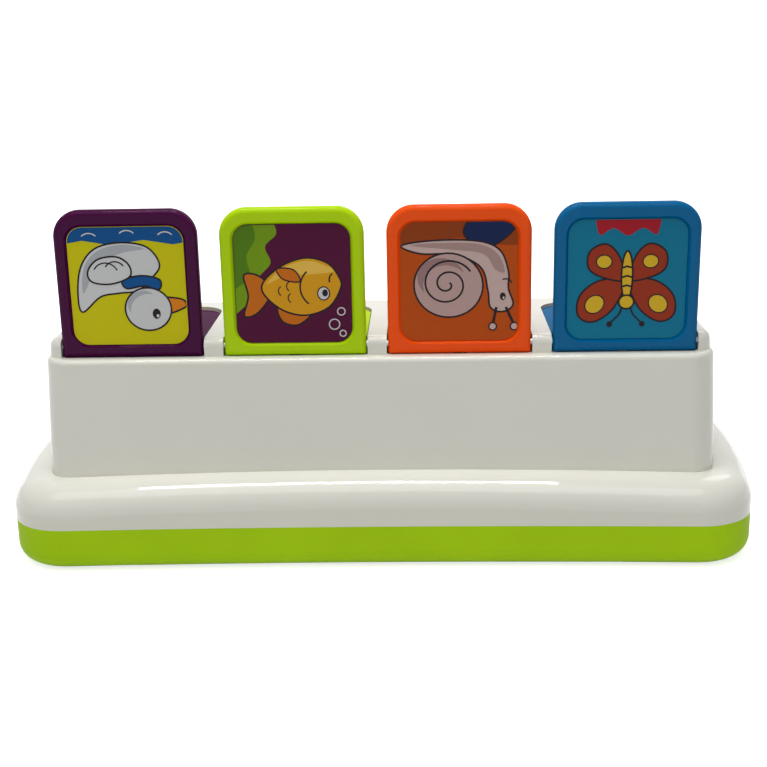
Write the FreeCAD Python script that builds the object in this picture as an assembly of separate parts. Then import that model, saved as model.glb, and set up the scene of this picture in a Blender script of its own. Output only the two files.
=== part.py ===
import FreeCAD, Part
import math
import os

# A pop up toy: a white housing on a green foot tray, with four sprung lids on one hinge rod.
# Millimetres. +Z is up, -Y is the front with the controls, +Y the rear with the hinge.
# The origin is the middle of the footprint, on the surface that the toy stands on.

V = FreeCAD.Vector
COLOURS = ("purple", "green", "orange", "blue")  # from +X to -X

# ---------------------------------------------------------------- driving dimensions

# lids and the pockets that they shut
lid_width = 63.3
lid_length = 66.0
lid_thickness = 8.0
lid_corner_radius = 12.0
lid_heel_radius = 0.8        # lower corners of the cover
lid_edge_round = 2.4
lid_side_gap = 0.6
lid_heel_gap = 0.15          # between the lid's heel and the ledge
lid_front_gap = 0.5
lid_rim = 2.4                # wall round the hollow in the lid's inner face
lid_hollow_depth = 4.2
lid_hollow_radius = 2.0      # lower corners of the hollow
floor_thickness = 2.4
floor_drop = 1.15            # top of the floor panel below the deck
floor_inset = 2.4            # floor panel's front edge, short of the lid's end
floor_front_gap = 0.9
floor_side_gap = 0.55
web_width = 8.5              # between two pockets
deck_strip = 13.1            # of the deck, in front of the pockets
crown_end_wall = 6.05        # of the deck, beside the last pocket
rail_depth = 11.0            # of the webs, below the hinge axis

# window and printed plate in each lid
window_side = 4.8           # frame beside the window
window_top = 6.1
window_bottom = 4.6
window_corner_radius = 8.0
window_bevel = 1.0
window_depth = 1.4
label_thickness = 0.4
label_gap = 0.15

# tower and the raised crown on it, at the ledge
crown_inset = 4.7            # ledge width, front and rear
crown_end_inset = 0.8
crown_end_taper = 1.4
tower_corner_radius = 13.0
crown_corner_radius = 8.0
tower_draft = 0.04           # widening per millimetre of height

# foot outline in plan, shared by the tray and the skirt
rear_margin = 19.6           # from the tower to the edge of the foot
end_margin = 24.2
console_margin = 15.0        # from the console to the front edge of the foot
side_radius = 341.0          # bow of the two ends
rear_radius = 3976.0         # slight hollow of the rear edge
front_radius = 708.0         # bow of the front edge
rear_corner_radius = 26.0
front_corner_radius = 44.0

# heights
foot_proud = 0.6             # rubber feet below the tray
seam_z = 20.7                # joint between tray and shell
skirt_top_z = 42.1           # in the middle; the skirt's top is crowned along X
skirt_crown_radius = 3900.0
ledge_z = 93.9               # top of the tower's wall
root_depth = 10.0            # from the seam to the tower's and the console's lower end

# walls and roundings
wall = 2.5
skirt_round = 13.0
tray_round = 8.5
sharp = 0.01                 # corner radius of a square corner
inner_bevel = 0.7            # bevel inside a rounding, of that rounding's inner radius
ledge_round = 2.4
crown_round = 3.6

# rods and springs
rod_radius = 1.5
running_gap = 0.05           # radial, in every bore that turns on a pin
spring_wire = 0.7
spring_gap = 0.25            # radial, between rod and coil
spring_pitch = 1.0
lid_spring_turns = 3.75
latch_spring_turns = 1.75
lid_lead_length = 12.0
lid_lead_lift = 10.5         # degrees, from level up to the floor panel's underside
lid_stub_length = 3.0
latch_lead_length = 14.0
latch_stub_length = 4.0
spring_clearance = 0.35      # round a lid's spring
spring_end_gap = 1.0
oval_end = 0.8               # end radius of an oval pad, of its half width
rod_hold = 2.0               # of the hinge rod, in each end of the crown

# catch on each lid
catch_width = 8.0
catch_inset = 8.7            # from the lid's end to the tab's lower face
catch_tab = 3.0
catch_drop = 14.0            # from the hinge axis to the tab's end
catch_root = 2.5             # thicker root behind the tab
barb_height = 3.0
barb_bite = 1.3
barb_tip = 0.3               # of the barb's slope, at its end

# latches
pivot_setback = 0.2          # latch axis, in front of the pocket
pivot_drop = 3.0             # latch axis, below the top of the console
hub_radius = 3.6
journal_radius = 2.6         # waist of the hub inside the spring
journal_start = -6.2
journal_end = -3.6
lug_start = 9.0              # along the arm, from the pivot
lug_length = 3.0
hub_left = -11.5             # hub ends, from the lid's centre
hub_right = 5.0
arm_width = 5.0
arm_thickness = 4.0
nose_radius = 1.5
nose_neck = 0.7              # between the nose and the pad under it
pad_margin = 2.5             # of the pad, beside the nose
hook_width = 7.0
hook_gap = 0.3               # between hook and barb
hook_overlap = 1.0
hook_shank = 3.0
hook_height = 2.6
latch_rib = 2.0
rib_gap = 0.4
rib_reach = 4.0              # of a rib round the latch axis

# console
console_depth = 46.0         # level length of the slope
console_drop = 15.6          # top of the slope, below the ledge
console_rise = 2.78          # foot of the slope, above the skirt
console_step = 0.4           # between the slope and the tower
console_end_inset = 4.0      # its ends, inside the tower's
console_overlap = 9.0        # into the tower
console_round = 5.0
control_gap = 0.35           # between a control and its opening
under_gap = 0.3              # between the panel and what moves under it
nose_depth = 6.0             # from the panel's face to the latch's nose
control_travel = 5.0         # of the latch's nose
rim_height = 1.2
rim_width = 2.4

# push button
button_wall_gap = 0.6        # between its flange and the inside of the console
button_offset = 4.0          # button's axis, up the slope from the latch's nose
button_proud = 9.6
button_dome = 2.6
button_round = 2.0
button_flange = 1.6
stem_radius = 3.2

# slide switch
slide_travel = 16.0
slide_neck_length = 10.0
slide_neck_width = 8.0
slide_plate = 2.0
slide_radius = 3.5           # corners of the plate and of the neck in its slot
slide_plate_width = 17.0
slide_plate_end = 1.5        # plate left beyond the slot at either end of the travel
slide_lead = 2.0             # of the wedge, before and after the travel
thumb_length = 19.0
thumb_width = 21.0
thumb_height = 8.5
thumb_radius = 4.0
thumb_round = 1.6
thumb_ridge = 1.8            # width of each grip ridge
thumb_ridge_height = 1.2
thumb_ridge_inset = 3.0
thumb_ridge_pitch = 4.5

# dial
dial_turn = 75.0
dial_radius = 18.0
dial_height = 7.0
dial_round = 2.5
dial_top_gap = 1.43          # between the knob and the top of the slope
dial_bar_height = 9.0
dial_bar_width = 10.0
dial_bar_inset = 1.5
dial_bar_round = 2.8
dial_shaft_radius = 5.0
dial_shaft_height = 6.0      # above the panel
cam_width = 6.0
cam_depth = 9.0              # of the ramp's section, before its top is trimmed
cam_rim = 0.6                # of the disc, outside the ramp
cam_gap = 0.5                # between a ramp and the latch's nose at rest
cam_lead = 8.0               # degrees of ramp before and after the working turn

# flip lever
lever_turn = 26.0
lever_pivot_s = 11.0         # up the slope from the latch's nose
lever_pivot_depth = 6.5
lever_pin_radius = 1.25
drum_radius = 7.0
drum_half_width = 5.5
lever_length = 27.0
lever_blade = 5.0
lever_blade_width = 9.0
grip_width = 18.0
grip_thickness = 9.0
grip_start = 9.0             # of the grip, below the end of the blade
grip_end = 5.0
grip_round = 3.0
heel_width = 6.0
heel_step = 0.4              # of the heel's web, thinner than its nose on each side
ear_half = 4.0               # of the ears that hold the pin
ear_below = 3.2              # the pin's axis

# fastening
boss_radius = 5.5
shell_boss_radius = 3.8
screw_radius = 1.3
screw_head_radius = 3.2
screw_head_height = 2.2
screw_hole_radius = 1.7
counterbore_radius = 3.8
counterbore_depth = 8.0
screw_bite = 9.0
lip_height = 2.6
lip_thickness = 1.5
foot_pad_radius = 7.0
foot_pad_thickness = 2.2
tray_rib = 2.0
tray_rib_height = 7.0
tray_rib_offset = 30.0       # of the long ribs, from the middle
lip_overlap = 4.0            # of the lip, below the seam
lip_gap = 0.2
post_gap = 0.4               # between the lip and a screw post
screw_end_margin = 19.6      # from the foot's outline
screw_rear_margin = 35.0
screw_front_margin = 45.0
mid_screw_rear_margin = 17.0
mid_screw_front_margin = 15.0
foot_end_margin = 48.6
foot_rear_margin = 30.0
foot_front_margin = 40.0

# ---------------------------------------------------------------- derived sizes

pocket_width = lid_width + 2 * lid_side_gap
lid_pitch = pocket_width + web_width
lid_centres = [lid_pitch * (1.5 - i) for i in range(len(COLOURS))]
pocket_end_x = lid_centres[0] + pocket_width / 2
tower_half_width = pocket_end_x + crown_end_wall + crown_end_taper + crown_end_inset
tower_depth = lid_length + lid_front_gap + deck_strip + 2 * crown_inset
console_half_width = tower_half_width - console_end_inset
half_length = tower_half_width + end_margin
overall_depth = rear_margin + tower_depth + console_step + console_depth + console_margin
rear_y = overall_depth / 2
front_y = -overall_depth / 2
rear_half_span = half_length - 1.25 * rear_corner_radius
rear_hollow = rear_half_span ** 2 / (2 * rear_radius)
tray_bottom_z = foot_proud
tower_rear_y = rear_y - rear_margin
tower_front_y = tower_rear_y - tower_depth
lid_bottom_z = ledge_z + lid_heel_gap
deck_z = lid_bottom_z + lid_thickness
lid_outer_y = tower_rear_y - crown_inset
lid_inner_y = lid_outer_y - lid_thickness
hinge_y = lid_outer_y - lid_thickness / 2
hinge_z = lid_bottom_z + lid_thickness / 2
pocket_front_y = lid_outer_y - lid_length - lid_front_gap
floor_top_z = deck_z - floor_drop
floor_front_y = lid_outer_y - lid_length + floor_inset
well_front_y = floor_front_y - floor_front_gap
window_width = lid_width - 2 * window_side
window_height = lid_length - window_bottom - window_top
catch_z = lid_bottom_z + lid_length - catch_inset
barb_tip_y = hinge_y - (catch_z + catch_tab + barb_bite - hinge_z)
console_top_y = tower_front_y - console_step
console_top_z = ledge_z - console_drop
slope_height = console_top_z - skirt_top_z - console_rise
slope = math.atan2(slope_height, console_depth)
panel_y = console_top_y - console_depth / 2
panel_z = console_top_z - slope_height / 2
latch_pivot_y = pocket_front_y - pivot_setback
latch_pivot_z = console_top_z - pivot_drop
arm_depth = nose_depth + nose_radius + nose_neck + arm_thickness / 2
dial_offset = math.hypot(console_depth, slope_height) / 2 - dial_radius - dial_top_gap
dial_cam_radius = dial_offset + cam_width / 2 + cam_rim
spring_room = rod_radius + spring_gap + spring_wire + spring_clearance
spring_half = lid_spring_turns * spring_pitch / 2 + spring_end_gap
screw_x = half_length - screw_end_margin
screw_ys = (rear_y - screw_rear_margin, front_y + screw_front_margin)
screw_places = [(x, y) for x in (-screw_x, screw_x) for y in screw_ys]
screw_places += [(0, rear_y - mid_screw_rear_margin), (0, front_y + mid_screw_front_margin)]
foot_x = half_length - foot_end_margin
foot_ys = (rear_y - foot_rear_margin, front_y + foot_front_margin)
foot_places = [(x, y) for x in (-foot_x, foot_x) for y in foot_ys]


# ---------------------------------------------------------------- helpers

def box(x0, x1, y0, y1, z0, z1):
    return Part.makeBox(x1 - x0, y1 - y0, z1 - z0, V(x0, y0, z0))


def upright(radius, z0, z1, x=0.0, y=0.0):
    """Cylinder along Z."""
    return Part.makeCylinder(radius, z1 - z0, V(x, y, z0), V(0, 0, 1))


def crossbar(radius, x0, x1, y, z):
    """Cylinder along X."""
    return Part.makeCylinder(radius, x1 - x0, V(x0, y, z), V(1, 0, 0))


def rounded_wire(x0, x1, y0, y1, radii, z):
    """Level rectangle with rounded corners: radii at (x1,y0), (x1,y1), (x0,y1), (x0,y0)."""
    corners = ((x1, y0, 0, 1), (x1, y1, -1, 0), (x0, y1, 0, -1), (x0, y0, 1, 0))
    edges = []
    marks = []
    for (x, y, dx, dy), r in zip(corners, radii):
        before = V(x - r * dy, y + r * dx, z)
        after = V(x + r * dx, y + r * dy, z)
        centre = V(x + r * (dx - dy), y + r * (dx + dy), z)
        away = V(x, y, z) - centre
        marks.append((before, centre + away.normalize() * r, after))
    for i, (before, middle, after) in enumerate(marks):
        following = marks[(i + 1) % 4][0]
        edges.append(Part.Arc(before, middle, after).toShape())
        if after.distanceToPoint(following) > 1e-6:
            edges.append(Part.LineSegment(after, following).toShape())
    return Part.Wire(edges)


def slab(x0, x1, y0, y1, radii, z0, z1):
    """Upright block with rounded corners."""
    face = Part.Face(rounded_wire(x0, x1, y0, y1, radii, z0))
    return face.extrude(V(0, 0, z1 - z0))


def side_profile(points, x0, x1):
    """Solid between x0 and x1 with the outline of (y, z) points."""
    corners = [V(x0, y, z) for y, z in points]
    return Part.Face(Part.makePolygon(corners + corners[:1])).extrude(V(x1 - x0, 0, 0))


def fuse_all(first, others):
    return first.fuse(list(others)).removeSplitter()


def on_panel(shape, x, s=0.0):
    """Moves a shape from the panel's frame (x, up the slope, out of the panel) to its place."""
    moved = shape.copy()
    moved.translate(V(0, s, 0))
    turn = FreeCAD.Rotation(V(1, 0, 0), math.degrees(slope))
    moved.Placement = FreeCAD.Placement(V(x, panel_y, panel_z), turn).multiply(moved.Placement)
    return moved


def panel_point(s, n):
    """(y, z) of a point s up the slope and n out of the panel."""
    y = panel_y + s * math.cos(slope) - n * math.sin(slope)
    z = panel_z + s * math.sin(slope) + n * math.cos(slope)
    return y, z


def export(name, shape):
    shape.exportStep("parts/" + name + ".step")


# ---------------------------------------------------------------- housing

def is_upright(edge):
    ends = [v.Point for v in edge.Vertexes]
    if len(ends) != 2:
        return False
    rise = ends[1] - ends[0]
    return abs(rise.x) < 1e-3 and abs(rise.y) < 1e-3 and abs(rise.z) > 1e-3


def meeting_point(centre_a, radius_a, centre_b, radius_b, side):
    """Point at two distances from two centres, on the given side of the line between them."""
    gap = centre_b - centre_a
    along = (radius_a ** 2 - radius_b ** 2 + gap.Length ** 2) / (2 * gap.Length)
    across = math.sqrt(radius_a ** 2 - along ** 2)
    forward = V(gap).normalize()
    return centre_a + forward * along + V(-forward.y, forward.x, 0) * across * side


def foot_face(inset, z):
    """The foot's plan, inset all round: bowed ends and front, hollow rear, rounded corners."""
    end = V(half_length - side_radius, 0, 0)
    front = V(0, front_y + front_radius, 0)
    rear = V(0, rear_y + rear_radius - rear_hollow, 0)
    front_corner = meeting_point(end, side_radius - front_corner_radius,
                                 front, front_radius - front_corner_radius, -1)
    rear_corner = meeting_point(end, side_radius - rear_corner_radius,
                                rear, rear_radius + rear_corner_radius, -1)
    marks = []
    for centre, corner, reach in ((front, front_corner, front_radius - inset),
                                  (end, front_corner, side_radius - inset),
                                  (end, rear_corner, side_radius - inset),
                                  (rear, rear_corner, rear_radius + inset)):
        marks.append(centre + (corner - centre).normalize() * reach)
    front_bend = front_corner + (marks[0] + marks[1] - front_corner * 2).normalize() * (
        front_corner_radius - inset)
    rear_bend = rear_corner + (marks[2] + marks[3] - rear_corner * 2).normalize() * (
        rear_corner_radius - inset)
    half = [(marks[0], front_bend, marks[1]), (marks[1], V(half_length - inset, 0, 0), marks[2]),
            (marks[2], rear_bend, marks[3])]
    mirror = [tuple(V(-p.x, p.y, 0) for p in reversed(arc)) for arc in reversed(half)]
    rear_arc = (marks[3], V(0, rear_y - rear_hollow - inset, 0), V(-marks[3].x, marks[3].y, 0))
    front_arc = (V(-marks[0].x, marks[0].y, 0), V(0, front_y + inset, 0), marks[0])
    arcs = half + [rear_arc] + mirror + [front_arc]
    face = Part.Face(Part.Wire([Part.Arc(*arc).toShape() for arc in arcs]))
    face.translate(V(0, 0, z))
    return face


def foot_block(inset, z0, z1):
    return foot_face(inset, z0).extrude(V(0, 0, z1 - z0))


def edges_at(shape, z, tolerance=0.01):
    return [e for e in shape.Edges
            if abs(e.BoundBox.ZMin - z) < tolerance and abs(e.BoundBox.ZMax - z) < tolerance]


def skirt_block(inset):
    """The skirt's outside, or with an inset its inside, from the seam up."""
    top = skirt_top_z - inset
    block = foot_block(inset, seam_z, top + 5)
    reach = 2 * half_length
    sag = skirt_crown_radius - math.sqrt(skirt_crown_radius ** 2 - reach ** 2)
    ends = [V(side * reach, -overall_depth, top - sag) for side in (-1, 1)]
    low = [V(side * reach, -overall_depth, 0) for side in (1, -1)]
    edges = [Part.Arc(ends[0], V(0, -overall_depth, top), ends[1]).toShape()]
    edges += [Part.LineSegment(a, b).toShape() for a, b in
              ((ends[1], low[0]), (low[0], low[1]), (low[1], ends[0]))]
    block = block.common(Part.Face(Part.Wire(edges)).extrude(V(0, 2 * overall_depth, 0)))
    rim = [e for e in block.Edges if e.BoundBox.ZMin > seam_z + 1 and not is_upright(e)]
    if inset == 0:
        return block.makeFillet(skirt_round, rim)
    return block.makeChamfer((skirt_round - inset) * inner_bevel, rim)


def tower_block(inset):
    """Drafted tower up to the ledge."""
    bottom_z = seam_z + root_depth
    spread = (ledge_z - bottom_z) * tower_draft
    wires = []
    for z, grow in ((bottom_z, spread - inset), (ledge_z - inset, inset * tower_draft - inset)):
        half = tower_half_width + grow
        radius = tower_corner_radius - inset
        wires.append(rounded_wire(-half, half, tower_front_y - grow, tower_rear_y + grow,
                                  [radius] * 4, z))
    block = Part.makeLoft(wires, True, True)
    if inset == 0:
        block = block.makeFillet(ledge_round, edges_at(block, ledge_z))
    return block


def crown_block(inset):
    """Raised crown with the deck on top."""
    bottom_z = ledge_z - 2 * wall
    top_z = deck_z - inset
    wires = []
    for z, taper in ((bottom_z, 0.0), (top_z, crown_end_taper)):
        half = tower_half_width - crown_end_inset - taper - inset
        radius = crown_corner_radius - inset
        wires.append(rounded_wire(-half, half, tower_front_y + crown_inset + inset,
                                  tower_rear_y - crown_inset - inset, [radius] * 4, z))
    block = Part.makeLoft(wires, True, True)
    if inset == 0:
        block = block.makeFillet(crown_round, edges_at(block, top_z))
    return block


def console_block(inset):
    """Sloping console in front of the tower."""
    top_z = console_top_z - inset / math.cos(slope)
    front_z = top_z - (console_top_y - front_y) * math.tan(slope)
    low_z = seam_z + root_depth
    back_y = tower_front_y + console_overlap - inset
    points = ((back_y, low_z), (front_y, low_z), (front_y, front_z), (console_top_y, top_z),
              (back_y, top_z))
    half = console_half_width - inset
    block = side_profile(points, -half, half)
    block = block.common(foot_block(console_margin + inset, seam_z, ledge_z))
    rim = []
    for edge in block.Edges:
        middle = edge.CenterOfMass
        if middle.z > skirt_top_z + 1 and middle.y < console_top_y - 2 and not is_upright(edge):
            rim.append(edge)
    if inset == 0:
        return block.makeFillet(console_round, rim)
    return block.makeChamfer((console_round - inset) * inner_bevel, rim)


def button_radius():
    """The widest button whose flange clears the bevel inside the console's bowed wall."""
    y, z = panel_point(button_offset, -wall - under_gap - button_flange)
    inside = foot_face(console_margin + wall, z).OuterWire
    room = Part.Vertex(V(lid_centres[0], y, z)).distToShape(inside)[0]
    bevel = (console_round - wall) * inner_bevel
    return (room - bevel - button_wall_gap) / math.cos(slope) - button_flange


def make_hinge_rod():
    end = pocket_end_x + rod_hold
    return crossbar(rod_radius, -end, end, hinge_y, hinge_z)


def make_latch_rod():
    left = min(rib_places(lid_centres[-1])) - latch_rib / 2
    right = max(rib_places(lid_centres[0])) + latch_rib / 2
    return crossbar(rod_radius, left, right, latch_pivot_y, latch_pivot_z)


def make_lever_pin():
    left = hub_left - rib_gap - latch_rib
    right = drum_half_width + rib_gap + latch_rib
    pin = crossbar(lever_pin_radius, left, right, 0, -lever_pivot_depth)
    return on_panel(pin, lid_centres[3], lever_pivot_s)


def latch_rib_plate(x):
    """One rib that carries the latch rod under the deck's front strip."""
    front = tower_front_y + 1
    top = deck_z - 1
    points = ((pocket_front_y, top), (pocket_front_y, ledge_z - 2 * wall),
              (latch_pivot_y + rib_reach, latch_pivot_z + rib_reach),
              (latch_pivot_y + rib_reach, latch_pivot_z - rib_reach),
              (latch_pivot_y - rib_reach, latch_pivot_z - rib_reach),
              (front, latch_pivot_z + 2 * rib_reach), (front, top))
    return side_profile(points, x - latch_rib / 2, x + latch_rib / 2)


def rib_places(x):
    left = x + hub_left - rib_gap - latch_rib / 2
    right = x + hub_right + rib_gap + latch_rib / 2
    return left, right


def pocket_walls():
    """Webs between the pockets and the rail in front of them, which hold the rods."""
    pieces = []
    low_z = hinge_z - rail_depth
    high_z = deck_z - 1
    for i in range(len(COLOURS) - 1):
        x = (lid_centres[i] + lid_centres[i + 1]) / 2
        pieces.append(box(x - web_width / 2, x + web_width / 2, pocket_front_y - wall,
                          tower_rear_y - 1, low_z, high_z))
    end_half = tower_half_width - 1
    for side in (-1, 1):
        x0, x1 = sorted((side * pocket_end_x, side * end_half))
        pieces.append(box(x0, x1, pocket_front_y - wall, tower_rear_y - 1, low_z, high_z))
    pieces.append(box(-end_half, end_half, pocket_front_y - wall, pocket_front_y,
                      ledge_z - wall, high_z))
    pieces.append(box(-end_half, end_half, pocket_front_y, well_front_y,
                      ledge_z - wall, ledge_z))
    for x in lid_centres:
        pieces += [latch_rib_plate(place) for place in rib_places(x)]
    return pieces


def pocket_cuts(x):
    """Space for a closed lid, and the well under it."""
    half = pocket_width / 2
    corner = lid_corner_radius + lid_front_gap
    lid_space = slab(x - half, x + half, pocket_front_y, rear_y, (corner, sharp, sharp, corner),
                     ledge_z, deck_z + 5)
    low_z = hinge_z - 2 * rail_depth
    well_rear_y = hinge_y + floor_thickness / 2
    well = slab(x - half, x + half, well_front_y, well_rear_y,
                (lid_corner_radius, sharp, sharp, lid_corner_radius), low_z, ledge_z + 1)
    spring_way = box(x - spring_half, x + spring_half, well_rear_y - 1, hinge_y + spring_room,
                     low_z, ledge_z + 1)
    return [lid_space, well, spring_way]


def control_rims():
    """Raised rims round the controls' openings, on the panel's face."""
    base = -wall / 2
    ring = upright(button_radius() + control_gap + rim_width, base, rim_height)
    pieces = [on_panel(ring, lid_centres[0], button_offset)]
    half_x = (slide_travel + slide_neck_length) / 2 + control_gap + rim_width
    half_s = slide_neck_width / 2 + control_gap + rim_width
    ring = slab(-half_x, half_x, -half_s, half_s, [half_s - sharp] * 4, base, rim_height)
    pieces.append(on_panel(ring, lid_centres[1]))
    ring = upright(dial_radius + rim_width, base, rim_height / 2)
    pieces.append(on_panel(ring, lid_centres[2], dial_offset))
    half_x = drum_half_width + control_gap + rim_width
    half_s = drum_radius + rim_width
    ring = slab(-half_x, half_x, -half_s, half_s, [rim_width + 0.5] * 4, base, rim_height)
    pieces.append(on_panel(ring, lid_centres[3], lever_pivot_s))
    return pieces


def control_openings():
    """Holes in the panel that the controls work through."""
    low = -wall - 1
    high = rim_height + 1
    hole = upright(button_radius() + control_gap, low, high)
    pieces = [on_panel(hole, lid_centres[0], button_offset)]
    half_x = (slide_travel + slide_neck_length) / 2 + control_gap
    half_s = slide_neck_width / 2 + control_gap
    hole = slab(-half_x, half_x, -half_s, half_s, [half_s - sharp] * 4, low, high)
    pieces.append(on_panel(hole, lid_centres[1]))
    hole = upright(dial_shaft_radius + running_gap, low, high)
    pieces.append(on_panel(hole, lid_centres[2], dial_offset))
    half_x = drum_half_width + control_gap
    half_s = drum_radius - 0.5
    hole = slab(-half_x, half_x, -half_s, half_s, [1.0] * 4, low, high)
    pieces.append(on_panel(hole, lid_centres[3], lever_pivot_s))
    return pieces


def lever_ribs():
    """Ears under the panel that hold the lever's pin."""
    pieces = []
    for x in (hub_left - rib_gap - latch_rib, drum_half_width + rib_gap):
        ear = box(x, x + latch_rib, -ear_half, ear_half, -lever_pivot_depth - ear_below, -wall / 2)
        pieces.append(on_panel(ear, lid_centres[3], lever_pivot_s))
    return pieces


def shell_bosses():
    """Screw posts that hang from the inside of the skirt."""
    return [upright(shell_boss_radius, seam_z, skirt_top_z, x, y) for x, y in screw_places]


def make_upper_shell():
    outside = fuse_all(skirt_block(0), [tower_block(0), crown_block(0), console_block(0)])
    inside = fuse_all(skirt_block(wall), [tower_block(wall), crown_block(wall),
                                          console_block(wall)])
    inside = inside.fuse(foot_block(wall, seam_z - 1, seam_z + 1))
    shell = outside.cut(inside)
    for group in (pocket_walls(), shell_bosses()):
        kept = [solid for piece in group for solid in piece.common(outside).Solids]
        shell = shell.fuse(kept)
    for group in (control_rims(), lever_ribs()):
        shell = shell.fuse(group)
    shell = shell.cut(control_openings())
    for x in lid_centres:
        for space in pocket_cuts(x):
            shell = shell.cut(space)
    shell = shell.cut([make_hinge_rod(), make_latch_rod(), make_lever_pin()])
    return shell.cut([upright(screw_radius, seam_z - 1, seam_z + screw_bite + 1, x, y)
                      for x, y in screw_places])


def make_base_tray():
    body = foot_block(0, tray_bottom_z, seam_z)
    body = body.makeFillet(tray_round, edges_at(body, tray_bottom_z))
    room = foot_block(wall, tray_bottom_z + wall, seam_z + 1)
    room = room.makeChamfer((tray_round - wall) * inner_bevel, edges_at(room, tray_bottom_z + wall))
    tray = body.cut(room)
    lip_z = seam_z - lip_overlap
    lip_top_z = seam_z + lip_height
    lip_room = foot_block(wall + lip_gap + lip_thickness, lip_z - 1, lip_top_z + 1)
    lip = foot_block(wall + lip_gap, lip_z, lip_top_z).cut(lip_room)
    join = foot_block(wall / 2, lip_z, seam_z - lip_overlap / 2).cut(lip_room)
    posts = [upright(boss_radius, tray_bottom_z + 1, seam_z, x, y) for x, y in screw_places]
    posts = [post.common(body) for post in posts]
    ribs = []
    rib_z = tray_bottom_z + wall / 2
    rib_top_z = rib_z + tray_rib_height
    half = tray_rib / 2
    for x in lid_centres:
        ribs.append(box(x - half, x + half, front_y, rear_y, rib_z, rib_top_z))
    for y in (-tray_rib_offset, tray_rib_offset):
        ribs.append(box(-half_length, half_length, y - half, y + half, rib_z, rib_top_z))
    ribs = [rib.common(body) for rib in ribs]
    tray = fuse_all(tray, [lip, join] + posts + ribs)
    cuts = []
    for x, y in screw_places:
        cuts.append(upright(screw_hole_radius, tray_bottom_z - 1, seam_z + 5, x, y))
        cuts.append(upright(counterbore_radius, tray_bottom_z - 1,
                            tray_bottom_z + counterbore_depth, x, y))
        cuts.append(upright(shell_boss_radius + post_gap, seam_z, lip_top_z + 1, x, y))
    for x, y in foot_places:
        cuts.append(upright(foot_pad_radius, 0, foot_pad_thickness, x, y))
    return tray.cut(cuts)


def make_screws():
    solids = []
    head_z = tray_bottom_z + counterbore_depth
    for x, y in screw_places:
        head = upright(screw_head_radius, head_z - screw_head_height, head_z, x, y)
        shank = upright(screw_radius, head_z, seam_z + screw_bite, x, y)
        solids.append(head.fuse(shank).removeSplitter())
    return Part.makeCompound(solids)


def make_feet():
    return Part.makeCompound([upright(foot_pad_radius, 0, foot_pad_thickness, x, y)
                              for x, y in foot_places])


# ---------------------------------------------------------------- lids

def lid_slab(width, height, bottom, radii, y_outer, y_inner):
    """Upright plate that faces the rear: width along X, height from bottom up along Z."""
    half = width / 2
    plate = slab(-half, half, 0, height, radii, 0, abs(y_outer - y_inner))
    plate.rotate(V(0, 0, 0), V(1, 0, 0), 90)
    plate.translate(V(0, max(y_outer, y_inner), bottom))
    return plate


def window_cut():
    """Tapered recess for the printed plate."""
    wires = []
    for depth, shrink in ((0.0, 0.0), (window_depth, window_bevel)):
        half = window_width / 2 - shrink
        wire = rounded_wire(-half, half, window_bottom + shrink,
                            window_bottom + window_height - shrink,
                            [window_corner_radius - shrink] * 4, -depth)
        wires.append(wire)
    recess = Part.makeLoft(wires, True, True)
    recess.rotate(V(0, 0, 0), V(1, 0, 0), 90)
    recess.rotate(V(0, 0, 0), V(0, 0, 1), 180)
    recess.translate(V(0, lid_outer_y, lid_bottom_z))
    return recess


def make_lid():
    """A lid in the middle of the toy: cover, floor panel, catch and hinge bore."""
    radii = (lid_heel_radius, lid_corner_radius, lid_corner_radius, lid_heel_radius)
    cover = lid_slab(lid_width, lid_length, lid_bottom_z, radii, lid_outer_y, lid_inner_y)
    face = [edge for edge in cover.Edges
            if edge.BoundBox.YMin > lid_outer_y - 0.01
            and edge.BoundBox.ZMax > lid_bottom_z + 2 * lid_heel_radius]
    cover = cover.makeFillet(lid_edge_round, face)
    heel = [edge for edge in cover.Edges
            if edge.BoundBox.YMax < lid_inner_y + 0.01
            and edge.BoundBox.ZMax < lid_bottom_z + 0.01
            and edge.BoundBox.XLength > lid_width / 2]
    cover = cover.makeFillet(lid_thickness / 2 - sharp, heel)
    hollow_bottom = floor_top_z + lid_rim
    hollow_height = lid_bottom_z + lid_length - lid_rim - hollow_bottom
    inner = lid_corner_radius - lid_rim
    hollow = lid_slab(lid_width - 2 * lid_rim, hollow_height, hollow_bottom,
                      (lid_hollow_radius, inner, inner, lid_hollow_radius),
                      lid_inner_y + lid_hollow_depth, lid_inner_y - 1)
    floor_half = pocket_width / 2 - floor_side_gap
    corner = lid_corner_radius - 1
    floor = slab(-floor_half, floor_half, floor_front_y, lid_inner_y + 1,
                 (corner, sharp, sharp, corner), floor_top_z - floor_thickness, floor_top_z)
    half = catch_width / 2
    tab_top = catch_z + catch_tab
    tab_end = hinge_y - catch_drop
    tab = box(-half, half, tab_end, lid_inner_y + 1, catch_z, tab_top)
    barb_points = ((tab_end, tab_top - 0.5), (tab_end, tab_top + barb_tip),
                   (tab_end + barb_height, tab_top + barb_bite),
                   (tab_end + barb_height, tab_top - 0.5))
    barb = side_profile(barb_points, -half, half)
    root = box(-half, half, lid_inner_y, lid_inner_y + lid_hollow_depth + 0.5,
               catch_z - catch_root, tab_top + catch_root)
    lid = fuse_all(cover.cut([window_cut(), hollow]), [floor, tab, barb, root])
    bore = crossbar(rod_radius + running_gap, -lid_width, lid_width, hinge_y, hinge_z)
    notch = crossbar(spring_room, -spring_half, spring_half, hinge_y, hinge_z)
    notch_low = box(-spring_half, spring_half, lid_inner_y - 1, hinge_y + spring_room,
                    lid_bottom_z - 1, hinge_z)
    return lid.cut([bore, notch, notch_low])


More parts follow.
